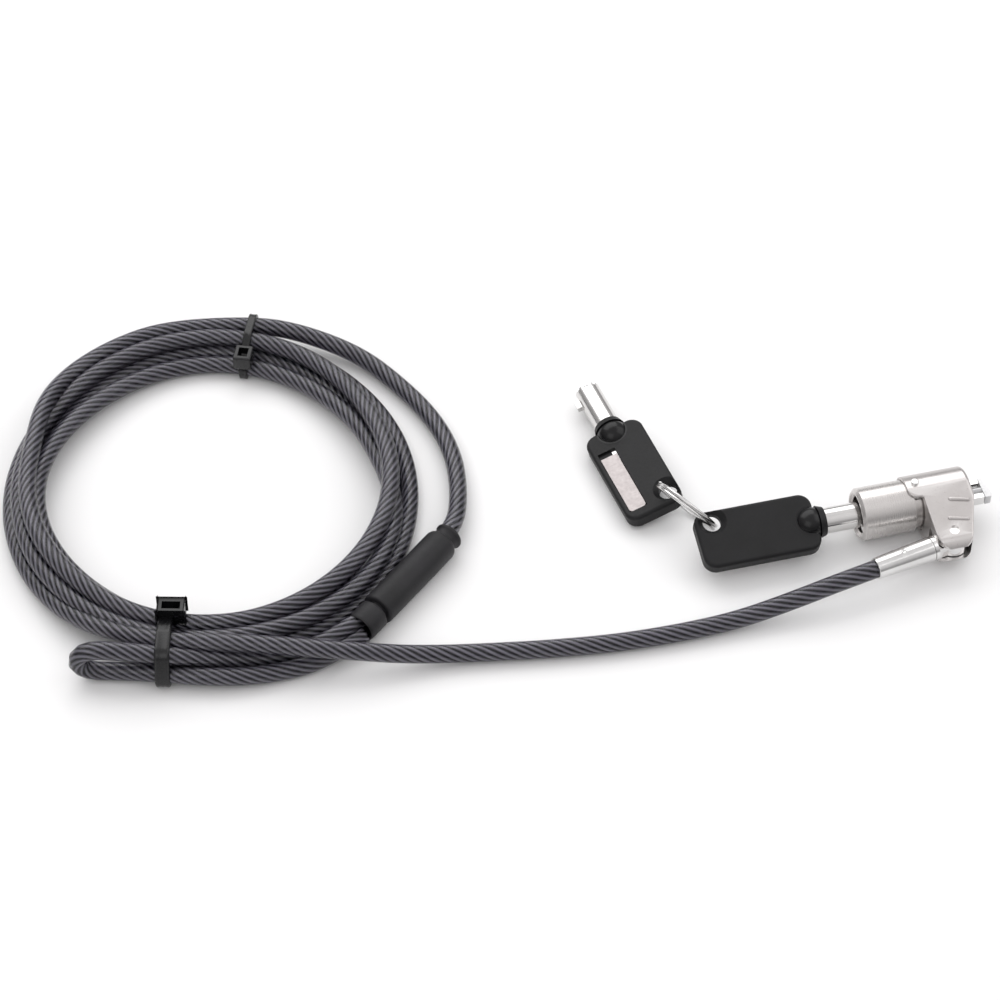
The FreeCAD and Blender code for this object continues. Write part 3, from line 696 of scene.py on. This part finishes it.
# ---- the eye's sleeve ----
def sleeve(finishes):
    """The moulded cover: a collar on the cable's side, a long body, a groove, and a neck with an open end."""
    along = SLEEVE_B - SLEEVE_A
    length = along.length
    r = SLEEVE_R
    collar = [(0.0002, 0.0021), (0.0, 0.0030), (0.0002, 0.0034), (0.0005, 0.0036), (0.0009, 0.0036),
              (0.0012, 0.0034), (0.0014, 0.0032), (0.0030, 0.0032), (0.0036, 0.0033)]
    neck = length - NECK_LEN
    body = [(0.0031, 0.0026), (0.0031, 0.0033), (0.0033, 0.0037), (0.0037, 0.0040), (0.0044, r),
            (length * 0.3, r * 1.005), (length * 0.6, r),
            (neck - 0.0017, r), (neck - 0.0013, r - 0.0001), (neck - 0.0011, r - 0.0004),
            (neck - 0.0010, r - 0.0014), (neck - 0.0003, r - 0.0014), (neck, r - 0.0006),
            (neck + 0.0003, r - 0.0003), (neck + 0.0007, r - 0.0002),
            (length - 0.0006, r - 0.0003), (length - 0.0002, r - 0.0004), (length, r - 0.0006),
            (length - 0.0001, r - 0.0009), (length - 0.0005, r - 0.0011), (length - 0.0040, r - 0.0012)]
    pieces = [lathe("sleeve_collar", LOCK + SLEEVE_A, along, collar, "cable"),
              lathe("sleeve_body", LOCK + SLEEVE_A, along, body, "cable")]
    for piece, node in zip(pieces, ("eye_sleeve_collar", "eye_sleeve")):
        piece.data.materials.append(finishes["cover"])
        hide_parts(node)
    return pieces


# ---- the split ring ----
def split_ring(finishes):
    """Two close turns of wire, each end lying along the other turn."""
    low, high = (Vector(p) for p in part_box("split_ring"))
    centre = (low + high) / 2 + RING_DROP
    normal = RING_NORMAL.normalized()
    first = normal.orthogonal().normalized()
    second = normal.cross(first)
    line = []
    steps = 150
    for k in range(steps + 1):
        a = 2 * math.pi * (2 * k / steps - 0.04)
        rise = RING_PITCH * (2 * ease(k / steps, 0.42, 0.58) - 1)
        line.append(centre + (first * math.cos(a) + second * math.sin(a)) * RING_R + normal * rise)
    ring = sweep("ring_wire", line, RING_WIRE_R, 16, "split_ring")
    ring.data.materials.append(finishes["wire"])
    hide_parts("split_ring")


# ---- the cable ----
def make_cable(finishes):
    points = run_points() + coil_points() + tail_points() + eye_points()
    smooth = spline_line("cable_line", points)
    line = even_line(smooth, LINE_STEP)
    rope = sweep("cable_strands", line, STRAND_R, 48, "cable", lobes=LOBES, depth=STRAND_DEPTH, lay=LAY)
    rope.data.materials.append(rope_material())
    jacket = sweep("cable_jacket", line[::2] + line[-1:], CABLE_R, 28, "cable")
    jacket.data.materials.append(jacket_material())
    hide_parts("cable_coil", "cable_run", "cable_tail", "cable_eye")
    fittings = [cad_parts[n] for n in ("cable_ferrule", "eye_crimp")] + sleeve(finishes)
    fittings += tie("tie_top", line, 68.0, at(-0.1328, 0.0978), 0.0021, 0.0009, (0.0476, 0.0046),
                    (0.0052, 0.0047, 0.0040), 0.0, "cable_tie_top", finishes["tie"])
    fittings += tie("tie_bottom", line, 255.0, at(-0.1729, -0.0007), 0.0036, 0.0010, (0.0458, 0.0078),
                    (0.0044, 0.0066, 0.0043), 0.0012, "cable_tie_bottom", finishes["tie"])


# ---- stage ----
def make_stage():
    mesh = bpy.data.meshes.new("floor")
    s = FLOOR_HALF
    mesh.from_pydata([(-s, -s, 0), (s, -s, 0), (s, s, 0), (-s, s, 0)], [], [(0, 1, 2, 3)])
    floor = bpy.data.objects.new("floor", mesh)
    bpy.context.scene.collection.objects.link(floor)
    floor.location.z = -0.0001
    floor.data.materials.append(material("floor", Base_Color=(0.93, 0.93, 0.93, 1), Roughness=0.6))


def area_light(name, place, size, power, colour=(1, 1, 1)):
    data = bpy.data.lights.new(name, "AREA")
    data.shape = "RECTANGLE"
    data.size, data.size_y = size
    data.energy = power
    data.color = colour
    lamp = bpy.data.objects.new(name, data)
    bpy.context.scene.collection.objects.link(lamp)
    lamp.location = place
    aim = at(*VIEW_TO) - lamp.location
    lamp.rotation_mode = "QUATERNION"
    lamp.rotation_quaternion = aim.to_track_quat("-Z", "Y")


def make_lights():
    """A white room, brighter overhead, with broad soft boxes behind and to the sides."""
    world = bpy.data.worlds.new("world")
    world.use_nodes = True
    tree = world.node_tree
    background = tree.nodes["Background"]
    coords = tree.nodes.new("ShaderNodeTexCoord")
    split = tree.nodes.new("ShaderNodeSeparateXYZ")
    fade = tree.nodes.new("ShaderNodeValToRGB")
    tree.links.new(coords.outputs["Generated"], split.inputs[0])
    tree.links.new(split.outputs["Z"], fade.inputs["Fac"])
    tree.links.new(fade.outputs["Color"], background.inputs["Color"])
    stops = [(0.0, 0.62), (0.2, 0.36), (0.5, 0.75), (0.8, 1.0)]
    while len(fade.color_ramp.elements) < len(stops):
        fade.color_ramp.elements.new(0.5)
    for element, (place, value) in zip(fade.color_ramp.elements, stops):
        element.position = place
        element.color = (value, value * 0.985, value * 0.99, 1)
    background.inputs["Strength"].default_value = 0.85
    bpy.context.scene.world = world
    area_light("back_box", at(-0.25, 1.1, 1.1), (2.2, 1.2), 13)
    area_light("side_box", at(1.0, 0.0, 0.9), (1.2, 1.2), 4)
    area_light("front_box", at(-0.9, -0.9, 1.1), (1.2, 1.0), 3)
    bpy.context.scene.view_settings.view_transform = "Standard"


finishes = make_materials()
make_camera()
make_cable(finishes)
split_ring(finishes)
finish_nodes(finishes)
make_stage()
make_lights()
